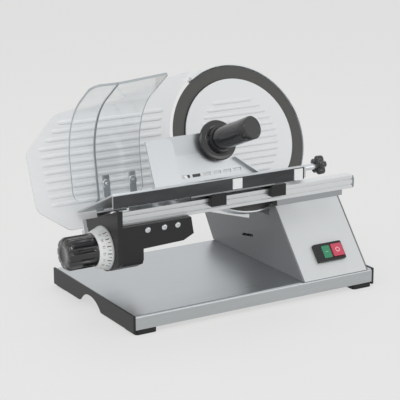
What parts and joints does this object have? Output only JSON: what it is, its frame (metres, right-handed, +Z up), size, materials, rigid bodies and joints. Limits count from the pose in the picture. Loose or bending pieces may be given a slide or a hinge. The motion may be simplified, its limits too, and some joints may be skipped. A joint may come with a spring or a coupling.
{
  "type": "electric gravity-feed meat slicer",
  "caption": "Electric gravity-feed slicer: sloping round blade in a ring guard, sliding food carriage with clear guard and pusher, gauge plate set by a thickness knob.",
  "frame": {"origin": "centre of the front left foot's lower face", "axes": "+X along the rail to the motor tower, +Y from the operator's side to the back, +Z up"},
  "size_m": [0.5732, 0.3555, 0.4],
  "materials": {
    "tray_steel": "satin brushed stainless sheet",
    "tower_aluminium": "satin anodised",
    "dark_paint": "fine matte paint",
    "black_plastic": "moulded, fine grain",
    "black_gloss_plastic": "smooth moulded",
    "rubber": "matte",
    "bright_steel": "polished",
    "machined_steel": "machined",
    "cast_aluminium": "fine cast",
    "rail_aluminium": "extruded, satin",
    "blade_coating": "smooth dark non-stick coat",
    "ring_aluminium": "polished",
    "pale_aluminium": "pale anodised, ribbed",
    "table_steel": "satin brushed",
    "white_plastic": "smooth",
    "clear_plastic": "clear, slightly smoked",
    "grey_plastic": "smooth",
    "green_button": "smooth",
    "red_button": "smooth",
    "cream_plastic": "smooth"
  },
  "bodies": {
    "frame": {"base_tray": "tray_steel", "left_panel": "black_plastic", "right_panel": "black_plastic", "rubber_feet": "rubber", "foot_screws": "machined_steel", "bottom_cover": "dark_paint", "tower_shell": "tower_aluminium", "tower_left_plate": "dark_paint", "tower_right_plate": "dark_paint", "cord_gland": "black_plastic", "control_box": "cream_plastic", "switch_bezel": "black_plastic", "switch_body": "black_plastic", "motor": "dark_paint", "motor_bracket": "machined_steel", "drive_belt": "rubber", "head_casting": "cast_aluminium", "shaft_bearings": "bright_steel", "bearing_cap": "cast_aluminium", "ring_guard": "ring_aluminium", "blade_cover": "pale_aluminium", "cover_tie_rod": "bright_steel", "slice_deflector": "tray_steel", "gauge_guide_rods": "bright_steel", "control_housing": "black_plastic", "housing_screws": "bright_steel", "rail": "rail_aluminium", "rail_foot": "cast_aluminium", "rail_end_cap": "grey_plastic", "rail_stop": "bright_steel"},
    "blade_group": {"blade": "blade_coating", "blade_hub": "machined_steel", "blade_shaft": "machined_steel", "blade_pulley": "cast_aluminium"},
    "motor_group": {"motor_rotor": "machined_steel", "motor_pulley": "machined_steel"},
    "gauge_group": {"gauge_plate": "pale_aluminium", "gauge_carrier": "cast_aluminium", "gauge_roller": "bright_steel"},
    "knob_group": {"knob_shaft": "machined_steel", "spiral_cam": "white_plastic", "scale_dial": "white_plastic", "thickness_knob": "black_gloss_plastic"},
    "carriage": {"food_table": "table_steel", "carriage_beam": "cast_aluminium", "slide_shoes": "black_plastic", "skirt_clamps": "white_plastic", "wall_panel": "table_steel", "guard_left_panel": "clear_plastic", "guard_right_panel": "clear_plastic", "guard_stay": "grey_plastic", "guard_brackets": "bright_steel", "star_knob_bracket": "bright_steel"},
    "pusher": {"pusher_plate": "table_steel", "pusher_disc": "black_gloss_plastic", "pusher_handle": "black_gloss_plastic"},
    "star_knob": {"star_knob": "black_gloss_plastic"},
    "start_button": {"start_button": "green_button"},
    "stop_button": {"stop_button": "red_button"},
    "cover_lock": {"cover_lock_knob": "black_gloss_plastic"}
  },
  "joints": [
    {"name": "blade_spin", "type": "hinge", "parent": "frame", "child": "blade_group", "pos_m": [0.2716, 0.145, 0.2444], "axis": [0, 0.91, -0.4147], "continuous": true},
    {"name": "motor_spin", "type": "hinge", "parent": "frame", "child": "motor_group", "pos_m": [0.3466, 0.0745, 0.08971], "axis": [0, 0.91, -0.4147], "continuous": true},
    {"name": "gauge_slide", "type": "slide", "parent": "frame", "child": "gauge_group", "axis": [0, 0.91, -0.4147], "range_m": [0, 0.015]},
    {"name": "thickness_knob_turn", "type": "hinge", "parent": "frame", "child": "knob_group", "pos_m": [-0.02, 0.1023, 0.1077], "axis": [-1, 0, 0], "range_deg": [0, 300]},
    {"name": "carriage_slide", "type": "slide", "parent": "frame", "child": "carriage", "axis": [1, 0, 0], "range_m": [-0.09, 0.125]},
    {"name": "pusher_slide", "type": "slide", "parent": "carriage", "child": "pusher", "axis": [0, 0.91, -0.4147], "range_m": [0, 0.095]},
    {"name": "star_knob_turn", "type": "hinge", "parent": "carriage", "child": "star_knob", "pos_m": [0.317, -0.01253, 0.22282], "axis": [1, 0, 0], "range_deg": [0, 270]},
    {"name": "start_button_press", "type": "slide", "parent": "frame", "child": "start_button", "axis": [0, 0.7732, -0.6342], "range_m": [0, 0.0025], "stiffness_N_per_m": 600},
    {"name": "stop_button_press", "type": "slide", "parent": "frame", "child": "stop_button", "axis": [0, 0.7732, -0.6342], "range_m": [0, 0.0025], "stiffness_N_per_m": 600},
    {"name": "cover_lock_turn", "type": "hinge", "parent": "frame", "child": "cover_lock", "pos_m": [0.2716, 0.145, 0.2444], "axis": [0, 0.91, -0.4147], "range_deg": [0, 180]}
  ],
  "couplings": [
    {"joint": "motor_spin", "follows": "blade_spin", "ratio": 3},
    {"joint": "thickness_knob_turn", "follows": "gauge_slide", "rad_per_m": 349.07}
  ]
}
